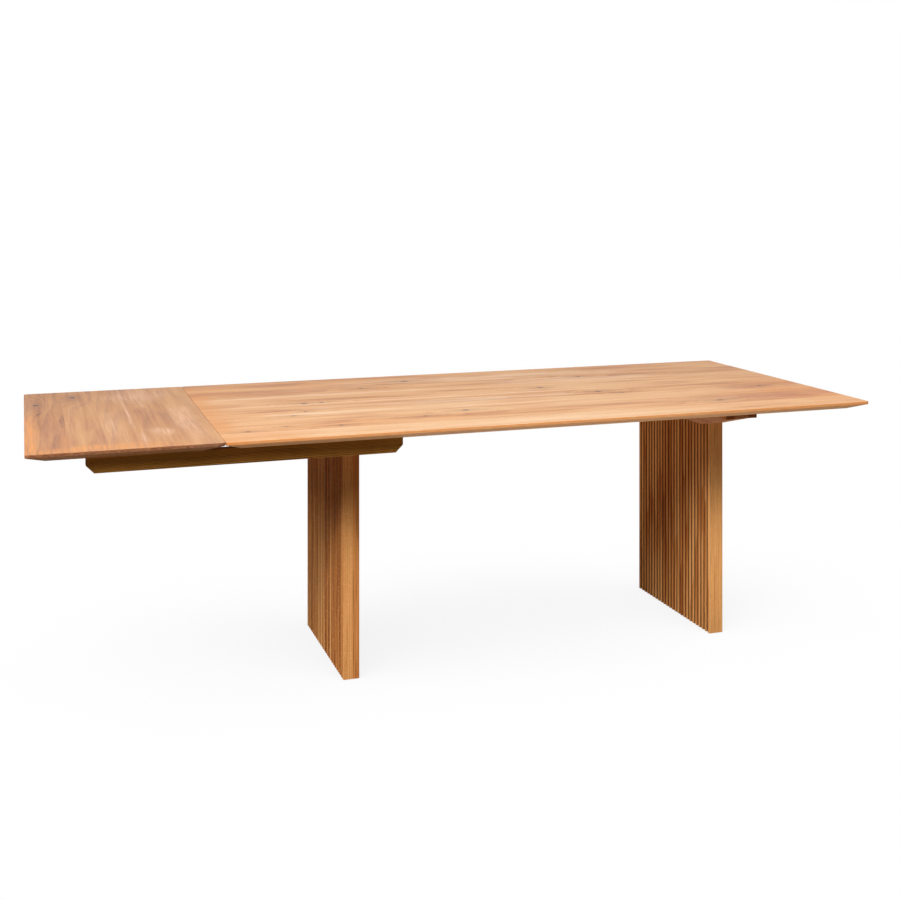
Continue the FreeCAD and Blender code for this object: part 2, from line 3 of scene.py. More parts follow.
import bpy
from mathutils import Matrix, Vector


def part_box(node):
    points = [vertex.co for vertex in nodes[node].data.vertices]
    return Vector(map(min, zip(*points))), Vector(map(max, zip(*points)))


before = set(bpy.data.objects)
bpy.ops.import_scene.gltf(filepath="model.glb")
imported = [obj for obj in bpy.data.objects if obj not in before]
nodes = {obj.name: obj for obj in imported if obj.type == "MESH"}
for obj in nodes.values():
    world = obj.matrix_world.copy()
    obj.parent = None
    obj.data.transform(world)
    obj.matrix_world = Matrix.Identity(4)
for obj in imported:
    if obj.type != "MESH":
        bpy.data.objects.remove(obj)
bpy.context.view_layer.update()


# ---- The two legs ------------------------------------------------------------
# Each leg is two upright boards of solid oak glued face to face, the outer one
# thicker than the inner. Both broad faces are ribbed on a router, and the whole
# is sanded and oiled. Everything made of oak shares the figure worked out here.

def colour(red, green, blue):
    """A colour given in everyday 0-255 values, as the linear one that shaders use."""
    parts = [value / 255 for value in (red, green, blue)]
    return (*[p / 12.92 if p <= 0.04045 else ((p + 0.055) / 1.055) ** 2.4 for p in parts], 1)


def fill(tree, slot, value):
    """Join an input to a socket, or set it to a plain value; None leaves it alone."""
    if isinstance(value, bpy.types.NodeSocket):
        tree.links.new(value, slot)
    elif value is not None:
        slot.default_value = value


def add(tree, kind, *values, **settings):
    """Add a shader node and fill its inputs in order with sockets or plain values.

    Settings named after an input, with _ for a space, fill that input.
    """
    made = tree.nodes.new("ShaderNode" + kind)
    named = {}
    for name, value in settings.items():
        if hasattr(made, name):
            setattr(made, name, value)
        else:
            named[name.replace("_", " ")] = value
    for slot, value in zip(made.inputs, values):
        fill(tree, slot, value)
    for name, value in named.items():
        fill(tree, made.inputs[name], value)
    return made


def reckon(tree, how, *values):
    """A Math node, as its one output."""
    return add(tree, "Math", *values, operation=how).outputs[0]


def swing(tree, value, size):
    """A value of 0 to 1, turned into one that swings by half of size to both sides of 0."""
    return reckon(tree, "MULTIPLY_ADD", value, size, -size / 2)


def mix(tree, factor, first, second):
    """Mix two colours, as the mixed colour."""
    made = add(tree, "Mix", data_type="RGBA")
    # among the sockets of a Mix node, these are the ones that are in use for colours
    for slot, value in ((0, factor), (6, first), (7, second)):
        fill(tree, made.inputs[slot], value)
    return made.outputs[2]


def between(tree, value, low, high, start=0.0, end=1.0):
    """Smoothly map value from low..high to start..end."""
    made = add(tree, "MapRange", value, low, high, start, end, interpolation_type="SMOOTHSTEP")
    return made.outputs[0]


def noise(tree, place, stretch, seed=None, detail=2.0, roughness=0.5):
    """Noise whose features are as long along X, Y and Z as stretch says, in metres."""
    scaled = add(tree, "VectorMath", place, tuple(1 / s for s in stretch), operation="MULTIPLY")
    moved = scaled.outputs[0]
    if seed is not None:
        moved = add(tree, "VectorMath", moved, seed, operation="ADD").outputs[0]
    made = add(tree, "TexNoise", moved, Scale=1.0, Detail=detail, Roughness=roughness)
    return made.outputs["Fac"]


def start_group(name, takes, gives):
    """A shader node group with the named inputs and outputs."""
    group = bpy.data.node_groups.new(name, "ShaderNodeTree")
    for title, kind, value in takes:
        made = group.interface.new_socket(title, in_out="INPUT", socket_type="NodeSocket" + kind)
        if value is not None:
            made.default_value = value
    for title in gives:
        group.interface.new_socket(title, in_out="OUTPUT", socket_type="NodeSocketFloat")
    source = group.nodes.new("NodeGroupInput")
    target = group.nodes.new("NodeGroupOutput")
    return group, source.outputs, target.inputs


def use(tree, group, **values):
    """Place a group in a material with its own values, as its outputs."""
    made = tree.nodes.new("ShaderNodeGroup")
    made.node_tree = group
    for name, value in values.items():
        fill(tree, made.inputs[name.replace("_", " ")], value)
    return made.outputs


# The figure of a board, sawn from a log whose heart lies at some distance below it.
# Place runs along the grain in X, across the board in Y and through it in Z. In metres,
# from one side to the other: where the heart can lie, how much deeper it can lie, how far
# it strays along the log, how much the rings ripple, and how far the fibres sway.
HEART_ASIDE = 0.10
HEART_BELOW = 0.08
HEART_STRAY = 0.016
RING_RIPPLE = 0.002
FIBRE_SWAY = 0.024
figure, took, gave = start_group(
    "oak_figure",
    [("Place", "Vector", None), ("Stave", "Float", 0.5), ("Bend", "Float", 0.0),
     ("Ring width", "Float", 0.0032), ("Slope", "Float", 0.005), ("Heart depth", "Float", 0.05)],
    ["Rings", "Streaks", "Clouds", "Fibres", "Pores", "Fleck"])
seed = add(figure, "TexWhiteNoise", None, took["Stave"], noise_dimensions="1D")
# every stave is cut from its own place in the noise
shift = add(figure, "VectorMath", seed.outputs["Color"], (40.0, 40.0, 40.0), operation="MULTIPLY")
shift = shift.outputs[0]
chance = add(figure, "SeparateXYZ", seed.outputs["Color"]).outputs
place = add(figure, "SeparateXYZ", took["Place"]).outputs
# the log's heart wanders slowly to and fro, and slopes away from the board
wander = noise(figure, took["Place"], (0.9, 0.5, 0.5), shift, detail=1.0)
wander = swing(figure, wander, HEART_STRAY)
ripple = noise(figure, took["Place"], (0.30, 0.03, 0.03), shift, detail=2.0)
ripple = swing(figure, ripple, RING_RIPPLE)
aside = swing(figure, chance[0], HEART_ASIDE)
across = reckon(figure, "ADD", reckon(figure, "SUBTRACT", place[1], aside), wander)
lean = reckon(figure, "MULTIPLY", place[0], took["Slope"])
below = reckon(figure, "ADD", reckon(figure, "ADD", place[2], lean),
               reckon(figure, "MULTIPLY_ADD", chance[1], HEART_BELOW, took["Heart depth"]))
radius = add(figure, "CombineXYZ", across, below, 0.0)
radius = add(figure, "VectorMath", radius.outputs[0], operation="LENGTH").outputs["Value"]
radius = reckon(figure, "ADD", reckon(figure, "ADD", radius, took["Bend"]), ripple)
count = reckon(figure, "DIVIDE", radius, took["Ring width"])
# rings grow unevenly wide, and each darkens slowly and ends sharply
uneven = add(figure, "TexNoise", None, reckon(figure, "MULTIPLY", count, 0.21),
             noise_dimensions="1D", Scale=1.0, Detail=1.0)
count = reckon(figure, "MULTIPLY_ADD", uneven.outputs["Fac"], 3.0, count)
part = reckon(figure, "FRACT", count)
rise = between(figure, part, 0.45, 0.88)
fall = between(figure, part, 0.90, 1.0, 1.0, 0.0)
figure.links.new(reckon(figure, "MULTIPLY", rise, fall), gave["Rings"])
# the fibres run along the board, but never quite straight
wave = noise(figure, took["Place"], (0.26, 0.06, 0.06), shift, detail=2.0)
wave = add(figure, "CombineXYZ", 0.0, swing(figure, wave, FIBRE_SWAY), 0.0)
wavy = add(figure, "VectorMath", took["Place"], wave.outputs[0], operation="ADD").outputs[0]
figure.links.new(noise(figure, wavy, (0.8, 0.022, 0.022), shift, 3.0, 0.55), gave["Streaks"])
figure.links.new(noise(figure, wavy, (0.35, 0.09, 0.09), shift, 2.0), gave["Clouds"])
figure.links.new(noise(figure, wavy, (0.30, 0.0045, 0.0045), shift, 3.0, 0.7), gave["Fibres"])
pore = noise(figure, took["Place"], (0.011, 0.00055, 0.00055), shift, 1.0)
figure.links.new(between(figure, pore, 0.56, 0.72), gave["Pores"])
fleck = noise(figure, took["Place"], (0.0035, 0.016, 0.016), shift, 2.0, 0.6)
figure.links.new(between(figure, fleck, 0.56, 0.74), gave["Fleck"])


def coat(tree, tint, rough, bump):
    """Give a material its colour, roughness and fine relief, as its shader."""
    surface = tree.nodes["Principled BSDF"]
    fill(tree, surface.inputs["Base Color"], tint)
    fill(tree, surface.inputs["Roughness"], rough)
    fill(tree, surface.inputs["Normal"], bump.outputs[0])
    return surface


PORE_DARK = 0.30
EDGE_DARK = 0.8
# a face whose normal's Z lies between these is turning to face down
DOWN = (-0.9, -0.5)


def oak(material, grain, tones, place=None, stave=0.5, tone=0.5, bend=0.0, marks=(), fleck=0.0,
        contrast=1.0, fibres=0.5, rings=0.3, dullness=0.5, end_dark=0.8, edge_shade=None,
        underside_painted_light=None, shine=0.03, **values):
    """Make the material the oiled oak of one piece.

    grain names the axes along, across and through the board, such as "zyx"; tones are four
    colours from pale to dark; marks are pairs of a mask and the colour it brings. contrast,
    fibres and rings say how strong the figure is, dullness how matt the oil is, from 0 to 1,
    and shine how much light it throws back.
    """
    tree = material.node_tree
    if place is None:
        place = board_place(tree, grain)
    look = use(tree, figure, Place=place, Stave=stave, Bend=bend, **values)
    # how dark the wood is: its streaks, then clouds, fibres, rings and the stave's own tone
    depth = reckon(tree, "MULTIPLY_ADD", look["Streaks"], 0.9 * contrast, 0.5 - 0.45 * contrast)
    for part, size in ((look["Clouds"], 0.6 * contrast), (look["Fibres"], fibres),
                       (look["Rings"], rings), (tone, 0.8)):
        depth = reckon(tree, "ADD", depth, swing(tree, part, size))
    ramp = add(tree, "ValToRGB", depth)
    stops = ramp.color_ramp.elements
    stops[0].position, stops[0].color = 0.12, tones[0]
    stops[1].position, stops[1].color = 0.90, tones[3]
    stops.new(0.40).color = tones[1]
    stops.new(0.65).color = tones[2]
    tint = ramp.outputs["Color"]
    tint = mix(tree, reckon(tree, "MULTIPLY", look["Pores"], PORE_DARK), tint, tones[3])
    if fleck:
        tint = mix(tree, reckon(tree, "MULTIPLY", look["Fleck"], fleck), tint, tones[0])
    for mask, shade in marks:
        tint = mix(tree, mask, tint, shade)
    # the ends of the boards drink the most oil and are darkest, and the long edges can be given a darker
    # colour too
    facing = add(tree, "SeparateXYZ", add(tree, "TexCoord").outputs["Normal"]).outputs
    mottle = between(tree, noise(tree, place, (0.03, 0.010, 0.004), detail=2.0), 0.3, 0.7, 0.6, 1.0)
    for axis, steep, share, shade in ((grain[0], (0.2, 0.5), end_dark, tones[3]),
                                      (grain[1], (0.6, 0.9), EDGE_DARK, edge_shade)):
        if shade:
            turned = reckon(tree, "ABSOLUTE", facing["xyz".index(axis)])
            turned = between(tree, turned, *steep, 0.0, share)
            tint = mix(tree, reckon(tree, "MULTIPLY", turned, mottle), tint, shade)
    # faces turned down are painted paler, as painted light thrown up from the floor, and show the figure
    # more faintly
    if underside_painted_light:
        below = mix(tree, between(tree, depth, 0.30, 0.80, 0.0, 0.6), underside_painted_light, tones[2])
        tint = mix(tree, between(tree, facing[2], *DOWN, 0.95, 0.0), tint, below)
    # open pores are dull and late wood takes a polish
    rough = reckon(tree, "MULTIPLY_ADD", look["Pores"], 0.16, dullness)
    rough = reckon(tree, "MULTIPLY_ADD", look["Rings"], -0.05, rough)
    # what faces down was planed and oiled, but never rubbed
    rough = reckon(tree, "ADD", rough, between(tree, facing[2], *DOWN, 0.3, 0.0))
    height = reckon(tree, "MULTIPLY_ADD", look["Pores"], -1.0,
                    reckon(tree, "MULTIPLY", look["Rings"], 0.35))
    bump = add(tree, "Bump", Strength=0.5, Distance=0.0002, Height=height)
    surface = coat(tree, tint, rough, bump)
    surface.inputs["Specular IOR Level"].default_value = shine
    return material


def start_material(name):
    """A new material, whose node tree holds one Principled BSDF."""
    material = bpy.data.materials.new(name)
    material.use_nodes = True
    return material


def board_place(tree, grain):
    """Where on the board: along, across and through it."""
    axes = add(tree, "SeparateXYZ", add(tree, "TexCoord").outputs["Object"]).outputs
    along, across, through = (axes["xyz".index(letter)] for letter in grain)
    return add(tree, "CombineXYZ", along, across, through).outputs[0]


def finish_node(name, material):
    """Give a piece of the frame its material."""
    mesh = nodes[name].data
    mesh.materials.clear()
    mesh.materials.append(material)


def staves(tree, place, edges, seeds, tones):
    """Which stave a point lies in: its place in that stave, and numbers for figure and tone.

    edges are the glue lines in metres, in rising order; there is one more stave than edges.
    """
    # the two outermost staves are taken as 5 cm wide, and what lies beyond belongs to them
    low, high = edges[0] - 0.05, edges[-1] + 0.05
    axes = add(tree, "SeparateXYZ", place).outputs
    spot = add(tree, "MapRange", axes[1], low, high, 0.0, 1.0).outputs[0]
    ramp = add(tree, "ValToRGB", spot)
    ramp.color_ramp.interpolation = "CONSTANT"
    stops = ramp.color_ramp.elements
    stops.remove(stops[1])
    bounds = [low, *edges, high]
    for index, (seed_value, tone) in enumerate(zip(seeds, tones)):
        start, end = ((bounds[index + step] - low) / (high - low) for step in (0, 1))
        stop = stops.new(start) if index else stops[0]
        stop.color = (seed_value, tone, (start + end) / 2, 1)
    parts = add(tree, "SeparateColor", ramp.outputs["Color"]).outputs
    middle = reckon(tree, "MULTIPLY_ADD", parts[2], high - low, low)
    across = reckon(tree, "SUBTRACT", axes[1], middle)
    return add(tree, "CombineXYZ", axes[0], across, axes[2]).outputs[0], parts[0], parts[1]


GROOVE_DEEP = 0.005
# how strongly painted shade darkens the grooves
GROOVE_PAINTED_SHADE = 0.72
# how strongly a painted highlight pales the edges of the ribs
ARRIS_PAINTED_HIGHLIGHT = 0.4


def rib_shade_and_highlight(tree, side, layer):
    """Masks of painted shade in a leg board's grooves, and of painted highlight on its sanded arrises."""
    low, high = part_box("%s_leg_%s_board" % (side, layer))
    axes = add(tree, "SeparateXYZ", add(tree, "TexCoord").outputs["Object"]).outputs
    # how deep under the ribbed face, which looks away from the glue line
    if (side == "left") == (layer == "outer"):
        depth = reckon(tree, "SUBTRACT", axes[0], low.x)
    else:
        depth = reckon(tree, "SUBTRACT", high.x, axes[0])
    # both masks stop short of the board's narrow edges
    from_middle = reckon(tree, "ABSOLUTE", axes[1])
    inside = between(tree, from_middle, high.y - 0.0010, high.y - 0.0004, 1.0, 0.0)
    in_groove = between(tree, depth, GROOVE_DEEP + 0.0003, GROOVE_DEEP + 0.0006, 1.0, 0.0)
    groove_shade = reckon(tree, "MULTIPLY", between(tree, depth, 0.0003, 0.0030), in_groove)
    arris_highlight = reckon(tree, "MULTIPLY", between(tree, depth, 0.0, 0.0004),
                   between(tree, depth, 0.0006, 0.0012, 1.0, 0.0))
    return [reckon(tree, "MULTIPLY", reckon(tree, "MULTIPLY", mask, inside), strength)
            for mask, strength in ((groove_shade, GROOVE_PAINTED_SHADE), (arris_highlight, ARRIS_PAINTED_HIGHLIGHT))]


LEG_TONES = [colour(248, 185, 117), colour(212, 137, 73), colour(179, 103, 47), colour(112, 54, 20)]
RIB_PITCH = 0.02033
# each board's glue lines across it, then for every stave a number for its figure and one for
# its tone, from pale to dark, and last how much the flecks of quarter-sawn wood show
LEG_BOARDS = (
    ("left", "outer", (-0.17, -0.09, 0.0, 0.085, 0.165), (0.11, 0.42, 0.83, 0.27, 0.64, 0.95),
     (0.58, 0.62, 0.55, 0.30, 0.58, 0.48), 0.8),
    ("left", "inner", (-0.15, -0.06, 0.05, 0.15), (0.31, 0.77, 0.18, 0.56, 0.39),
     (0.72, 0.45, 0.6, 0.4, 0.5), 0.0),
    ("right", "inner", (-0.18, -0.1, -0.02, 0.03, 0.11, 0.19),
     (0.71, 0.23, 0.52, 0.88, 0.36, 0.14, 0.67),
     (0.30, 0.30, 0.34, 0.62, 0.36, 0.34, 0.28), 0.0),
    ("right", "outer", (-0.16, -0.07, 0.04, 0.14), (0.44, 0.91, 0.08, 0.62, 0.29),
     (0.02, 0.3, 0.25, 0.4, 0.3), 0.6))
for side, layer, edges, seeds, shades, fleck in LEG_BOARDS:
    material = start_material("%s_leg_%s_figure" % (side, layer))
    tree = material.node_tree
    place, number, tone = staves(tree, board_place(tree, "zyx"), edges, seeds, shades)
    # each rib is by chance a little paler or darker than the next
    axes = add(tree, "SeparateXYZ", add(tree, "TexCoord").outputs["Object"]).outputs
    rib = reckon(tree, "MULTIPLY_ADD", axes[1], 1 / RIB_PITCH, 12.3 + 40 * seeds[0])
    rib = reckon(tree, "FLOOR", rib)
    lot = add(tree, "TexWhiteNoise", None, rib, noise_dimensions="1D").outputs["Value"]
    tone = reckon(tree, "ADD", tone, swing(tree, lot, 0.50))
    groove_shade, arris_highlight = rib_shade_and_highlight(tree, side, layer)
    # the narrow edges show the streaks of quarter-sawn boards
    facing = add(tree, "SeparateXYZ", add(tree, "TexCoord").outputs["Normal"]).outputs
    edge = reckon(tree, "ABSOLUTE", facing[1])
    streak = noise(tree, place, (0.16, 0.02, 0.0035), (seeds[0] * 9, 3.0, 0.0), detail=3.0,
                   roughness=0.65)
    streak_dark = 0.25 if layer == "outer" else 0.55
    streak = reckon(tree, "MULTIPLY", between(tree, edge, 0.7, 0.9),
                    between(tree, streak, 0.50, 0.68, 0.0, streak_dark))
    # the grooves are darkened with painted shade, and the rib edges paled with a painted highlight
    marks = [(streak, LEG_TONES[3]), (groove_shade, colour(54, 31, 15)), (arris_highlight, LEG_TONES[0])]
    oak(material, "zyx", LEG_TONES, place, stave=number, tone=tone, contrast=0.45, fibres=0.3,
        dullness=0.7, marks=marks, fleck=fleck)
    finish_node("%s_leg_%s_board" % (side, layer), material)


# ---- Felt glides -------------------------------------------------------------
# Four round pads of pressed wool felt, stuck under the foot of each leg so that
# the table can be pushed along without a scratch.

felt = start_material("pressed_felt")
tree = felt.node_tree
where = add(tree, "TexCoord").outputs["Object"]
fibres = noise(tree, where, (0.0008, 0.0008, 0.0008), detail=4.0, roughness=0.7)
patches = noise(tree, where, (0.006, 0.006, 0.006))
tint = mix(tree, fibres, colour(96, 88, 80), colour(140, 132, 122))
tint = mix(tree, reckon(tree, "MULTIPLY", patches, 0.4), tint, colour(78, 70, 64))
bump = add(tree, "Bump", Strength=0.8, Distance=0.0004, Height=fibres)
surface = coat(tree, tint, 0.95, bump)
surface.inputs["Sheen Weight"].default_value = 0.4
for side in ("left", "right"):
    finish_node(side + "_leg_glides", felt)


# ---- Yokes and cleats --------------------------------------------------------
# A yoke sits on each leg: one thick oak beam whose arms taper to both sides. A
# plain oak cleat is screwed along each of its faces, and up into the top.

YOKE_TONES = [colour(248, 186, 128), colour(226, 159, 103), colour(193, 127, 78), colour(116, 63, 30)]
for index, side in enumerate(("left", "right")):
    beam = start_material(side + "_yoke_figure")
    oak(beam, "yxz", YOKE_TONES, stave=0.15 + 0.5 * index, tone=0.35, fibres=0.3, shine=0.15)
    finish_node(side + "_yoke", beam)
    for layer, number in (("outer", 0.33), ("inner", 0.43)):
        strip = start_material("%s_%s_cleat_figure" % (side, layer))
        oak(strip, "yxz", YOKE_TONES, stave=number + 0.4 * index, tone=0.75, end_dark=0.95)
        finish_node("%s_%s_cleat" % (side, layer), strip)


# ---- Bolts, screws, washers, inserts and dowels ------------------------------
# Black bolts in zinc-plated inserts hold each leg to its yoke, and turned beech
# dowels keep it in place. Zinc-plated screws hold the cleats and the guides.

def metal(name, pale, dark, dullness):
    """Plated or blackened steel with fine turning marks and dull patches."""
    material = start_material(name)
    tree = material.node_tree
    where = add(tree, "TexCoord").outputs["Object"]
    marks = noise(tree, where, (0.0006, 0.0006, 0.0003), detail=3.0, roughness=0.65)
    patches = noise(tree, where, (0.004, 0.004, 0.004))
    tint = mix(tree, patches, pale, dark)
    rough = reckon(tree, "MULTIPLY_ADD", marks, 0.2, dullness)
    bump = add(tree, "Bump", Strength=0.3, Distance=0.0001, Height=marks)
    surface = coat(tree, tint, rough, bump)
    surface.inputs["Metallic"].default_value = 1.0
    return material


zinc = metal("zinc_plate", colour(206, 206, 200), colour(168, 170, 168), 0.28)
black = metal("black_steel", colour(64, 64, 66), colour(38, 38, 40), 0.38)
# beech is paler than oak, and its figure is fainter
BEECH_TONES = [colour(226, 190, 146), colour(214, 174, 128), colour(200, 156, 110),
               colour(170, 124, 82)]
beech = oak(start_material("turned_beech"), "zxy", BEECH_TONES, rings=0.1, contrast=0.5)
for side in ("left", "right"):
    finish_node(side + "_leg_bolts", black)
    finish_node(side + "_leg_dowels", beech)
    for part in ("bolt_washers", "leg_inserts", "cleat_top_screws", "cleat_washers", "cleat_side_screws"):
        finish_node("%s_%s" % (side, part), zinc)
for side in ("front", "rear"):
    finish_node(side + "_rail_guide_screws", zinc)
    finish_node(side + "_leaf_cleat_screws", zinc)


# ---- Pull-out rails, their guides and the leaf's cleats ----------------------
# Two oak rails run along the table on tongued guides screwed under the main top.
# Rubber pads let into their upper edges keep the leaf from creeping, and an oak
# cleat screwed under the leaf drops in just inside each rail.

# the rails, their guides and the leaf's cleats are darker than the other oak: painted shade for their
# place under the top
RAIL_SHADED_TONES = [colour(198, 139, 67), colour(166, 111, 44), colour(133, 85, 30), colour(80, 47, 13)]
rubber = start_material("soft_rubber")
tree = rubber.node_tree
where = add(tree, "TexCoord").outputs["Object"]
grit = noise(tree, where, (0.0007, 0.0007, 0.0007), detail=3.0)
tint = mix(tree, grit, colour(28, 28, 28), colour(52, 51, 50))
bump = add(tree, "Bump", Strength=0.4, Distance=0.0002, Height=grit)
coat(tree, tint, 0.8, bump)
for index, side in enumerate(("front", "rear")):
    for part, number in (("rail", 0.21), ("rail_guide", 0.47), ("leaf_cleat", 0.74)):
        stick = start_material("%s_%s_figure" % (side, part))
        oak(stick, "xzy", RAIL_SHADED_TONES, stave=number + 0.12 * index, rings=0.7, Slope=0.03)
        finish_node("%s_%s" % (side, part), stick)
    finish_node(side + "_rail_pads", rubber)


# ---- Main top ----------------------------------------------------------------
# One board glued up from eleven oak staves that run the whole length. It keeps
# the knots of wild-grown oak, and is bevelled underneath on all sides.

# a knot: the figure swells round it, further along the grain than across
knot, took, gave = start_group(
    "knot", [("Place", "Vector", None), ("Centre", "Vector", None), ("Size", "Float", 0.01)],
    ["Bend", "Dark"])
away = add(knot, "VectorMath", took["Place"], took["Centre"], operation="SUBTRACT").outputs[0]
wobble = add(knot, "TexNoise", took["Place"], Scale=90.0, Detail=2.0)
wobble = add(knot, "VectorMath", wobble.outputs["Color"], (0.5, 0.5, 0.5), operation="SUBTRACT")
wobble = add(knot, "VectorMath", wobble.outputs[0], (0.012, 0.008, 0.0), operation="MULTIPLY")
away = add(knot, "VectorMath", away, wobble.outputs[0], operation="ADD").outputs[0]
wide = add(knot, "VectorMath", away, (0.3, 1.0, 0.0), operation="MULTIPLY").outputs[0]
wide = reckon(knot, "DIVIDE", add(knot, "VectorMath", wide, operation="LENGTH").outputs["Value"],
              reckon(knot, "MULTIPLY", took["Size"], 2.2))
squared = reckon(knot, "MULTIPLY", wide, wide)
swell = reckon(knot, "EXPONENT", reckon(knot, "MULTIPLY", squared, -1.0))
bend = reckon(knot, "MULTIPLY", swell, reckon(knot, "MULTIPLY", took["Size"], 0.9))
knot.links.new(bend, gave["Bend"])
# its heart is dark, and a fainter halo lies round that
near = add(knot, "VectorMath", away, (0.6, 1.0, 0.0), operation="MULTIPLY").outputs[0]
near = reckon(knot, "DIVIDE", add(knot, "VectorMath", near, operation="LENGTH").outputs["Value"],
              took["Size"])
core = between(knot, near, 0.30, 0.85, 1.0, 0.0)
halo = reckon(knot, "MULTIPLY", reckon(knot, "POWER", swell, 2.0), 0.25)
knot.links.new(reckon(knot, "MAXIMUM", core, halo), gave["Dark"])


def grow_knots(tree, place, spots):
    """All the knots of a board: how far they bend the figure, and how dark they make it."""
    bend, dark = 0.0, 0.0
    for along, across, size in spots:
        one = use(tree, knot, Place=place, Centre=(along, across, 0.0), Size=size)
        bend = reckon(tree, "ADD", bend, one["Bend"])
        dark = reckon(tree, "MAXIMUM", dark, one["Dark"])
    return bend, dark


# a patch of another colour: an oval that frays into threads along the grain
stain, took, gave = start_group(
    "stain", [("Place", "Vector", None), ("Centre", "Vector", None), ("Reach", "Vector", None),
              ("Strength", "Float", 0.5)], ["Dark"])
away = add(stain, "VectorMath", took["Place"], took["Centre"], operation="SUBTRACT").outputs[0]
sway = add(stain, "VectorMath", took["Place"], (6.0, 6.0, 0.0), operation="MULTIPLY").outputs[0]
sway = add(stain, "TexNoise", sway, Scale=1.0, Detail=3.0).outputs["Color"]
sway = add(stain, "VectorMath", sway, (0.5, 0.5, 0.5), operation="SUBTRACT").outputs[0]
sway = add(stain, "VectorMath", sway, took["Reach"], operation="MULTIPLY").outputs[0]
sway = add(stain, "VectorMath", sway, (1.4, 1.4, 0.0), operation="MULTIPLY").outputs[0]
away = add(stain, "VectorMath", away, sway, operation="ADD").outputs[0]
# it goes right through the board
away = add(stain, "VectorMath", away, (1.0, 1.0, 0.0), operation="MULTIPLY").outputs[0]
away = add(stain, "VectorMath", away, took["Reach"], operation="DIVIDE").outputs[0]
away = add(stain, "VectorMath", away, operation="LENGTH").outputs["Value"]
fade = between(stain, away, 0.15, 1.15, 1.0, 0.0)
threads = noise(stain, took["Place"], (0.14, 0.005, 0.005), detail=3.0, roughness=0.65)
threads = between(stain, threads, 0.36, 0.64, 0.25, 1.0)
frayed = reckon(stain, "MULTIPLY", fade, threads)
stain.links.new(reckon(stain, "MULTIPLY", frayed, took["Strength"]), gave["Dark"])


def spread_stains(tree, place, spots):
    """All the patches of one colour on a board, as one mask."""
    dark = 0.0
    for along, across, length, width, strength in spots:
        one = use(tree, stain, Place=place, Centre=(along, across, 0.0), Reach=(length, width, 1.0),
                  Strength=strength)
        dark = reckon(tree, "MAXIMUM", dark, one["Dark"])
    return dark


TOP_TONES = [colour(233, 188, 142), colour(224, 170, 120), colour(202, 141, 93), colour(152, 84, 45)]
top_low, top_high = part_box("main_top")
# knots: from the joint along the top, from the rear edge, and size
TOP_KNOTS = ((0.320, 0.465, 0.012), (0.375, 0.463, 0.009), (0.560, 0.234, 0.010),
             (0.740, 0.130, 0.014), (1.130, 0.410, 0.011), (1.280, 0.545, 0.013),
             (1.345, 0.590, 0.008), (1.350, 0.225, 0.010), (0.755, 0.738, 0.012),
             (0.612, 0.794, 0.009), (1.570, 0.825, 0.012), (0.195, 0.825, 0.006),
             (0.345, 0.855, 0.009), (0.080, 0.870, 0.009), (0.295, 0.609, 0.006),
             (0.245, 0.668, 0.009), (1.845, 0.610, 0.010))
# glue lines from the rear edge, then for every stave a number for its figure and its tone
TOP_GLUE = (0.112, 0.170, 0.285, 0.392, 0.486, 0.495, 0.600, 0.690, 0.775, 0.885)
TOP_SEEDS = (0.13, 0.58, 0.91, 0.34, 0.72, 0.15, 0.26, 0.49, 0.83, 0.05, 0.66)
TOP_SHADES = (0.58, 0.46, 0.62, 0.42, 0.46, 0.22, 0.56, 0.34, 0.46, 0.52, 0.28)
# smoky, orange and pale patches: from the joint, from the rear edge, half length, half
# width and strength
TOP_STAINS = ((0.180, 0.210, 0.420, 0.050, 0.85), (0.020, 0.015, 0.150, 0.060, 0.95),
              (0.640, 0.135, 0.300, 0.020, 0.60), (0.725, 0.132, 0.080, 0.014, 0.40),
              (1.800, 0.800, 0.450, 0.075, 0.90), (1.840, 0.620, 0.250, 0.060, 0.85),
              (1.150, 0.770, 0.420, 0.028, 0.45), (0.345, 0.853, 0.110, 0.014, 0.60),
              (0.580, 0.800, 0.140, 0.020, 0.55), (1.120, 0.420, 0.060, 0.030, 0.40),
              (1.280, 0.545, 0.070, 0.024, 0.45), (1.340, 0.590, 0.050, 0.014, 0.45),
              (0.080, 0.872, 0.080, 0.014, 0.45), (1.780, 0.240, 0.300, 0.050, 0.30),
              (1.350, 0.215, 0.060, 0.024, 0.30))
TOP_GLOWS = ((0.000, 0.500, 0.080, 1.400, 0.90), (0.060, 0.930, 0.240, 0.120, 0.80),
             (1.960, 0.800, 0.300, 0.340, 0.85), (0.030, 0.160, 0.200, 0.140, 0.60),
             (0.060, 0.640, 0.200, 0.050, 0.55), (0.450, 0.850, 0.350, 0.060, 0.35),
             (0.350, 0.140, 0.320, 0.030, 0.40), (1.900, 0.950, 0.200, 0.040, 0.50))
TOP_PALES = ((0.350, 0.320, 0.500, 0.028, 0.60), (0.800, 0.480, 0.800, 0.016, 0.60),
             (0.350, 0.645, 0.400, 0.020, 0.75), (0.900, 0.660, 0.350, 0.016, 0.50),
             (0.800, 0.560, 0.600, 0.045, 0.65), (1.300, 0.270, 0.450, 0.070, 0.55),
             (1.050, 0.130, 0.650, 0.070, 0.65), (0.900, 0.950, 0.600, 0.035, 0.50),
             (0.250, 0.900, 0.300, 0.018, 0.40))


def on_top(spots):
    """Places counted from the joint and the rear edge, as places in the frame."""
    return [(top_low.x + along, top_high.y - across, *rest) for along, across, *rest in spots]


board = start_material("main_top_figure")
tree = board.node_tree
whole = board_place(tree, "xyz")
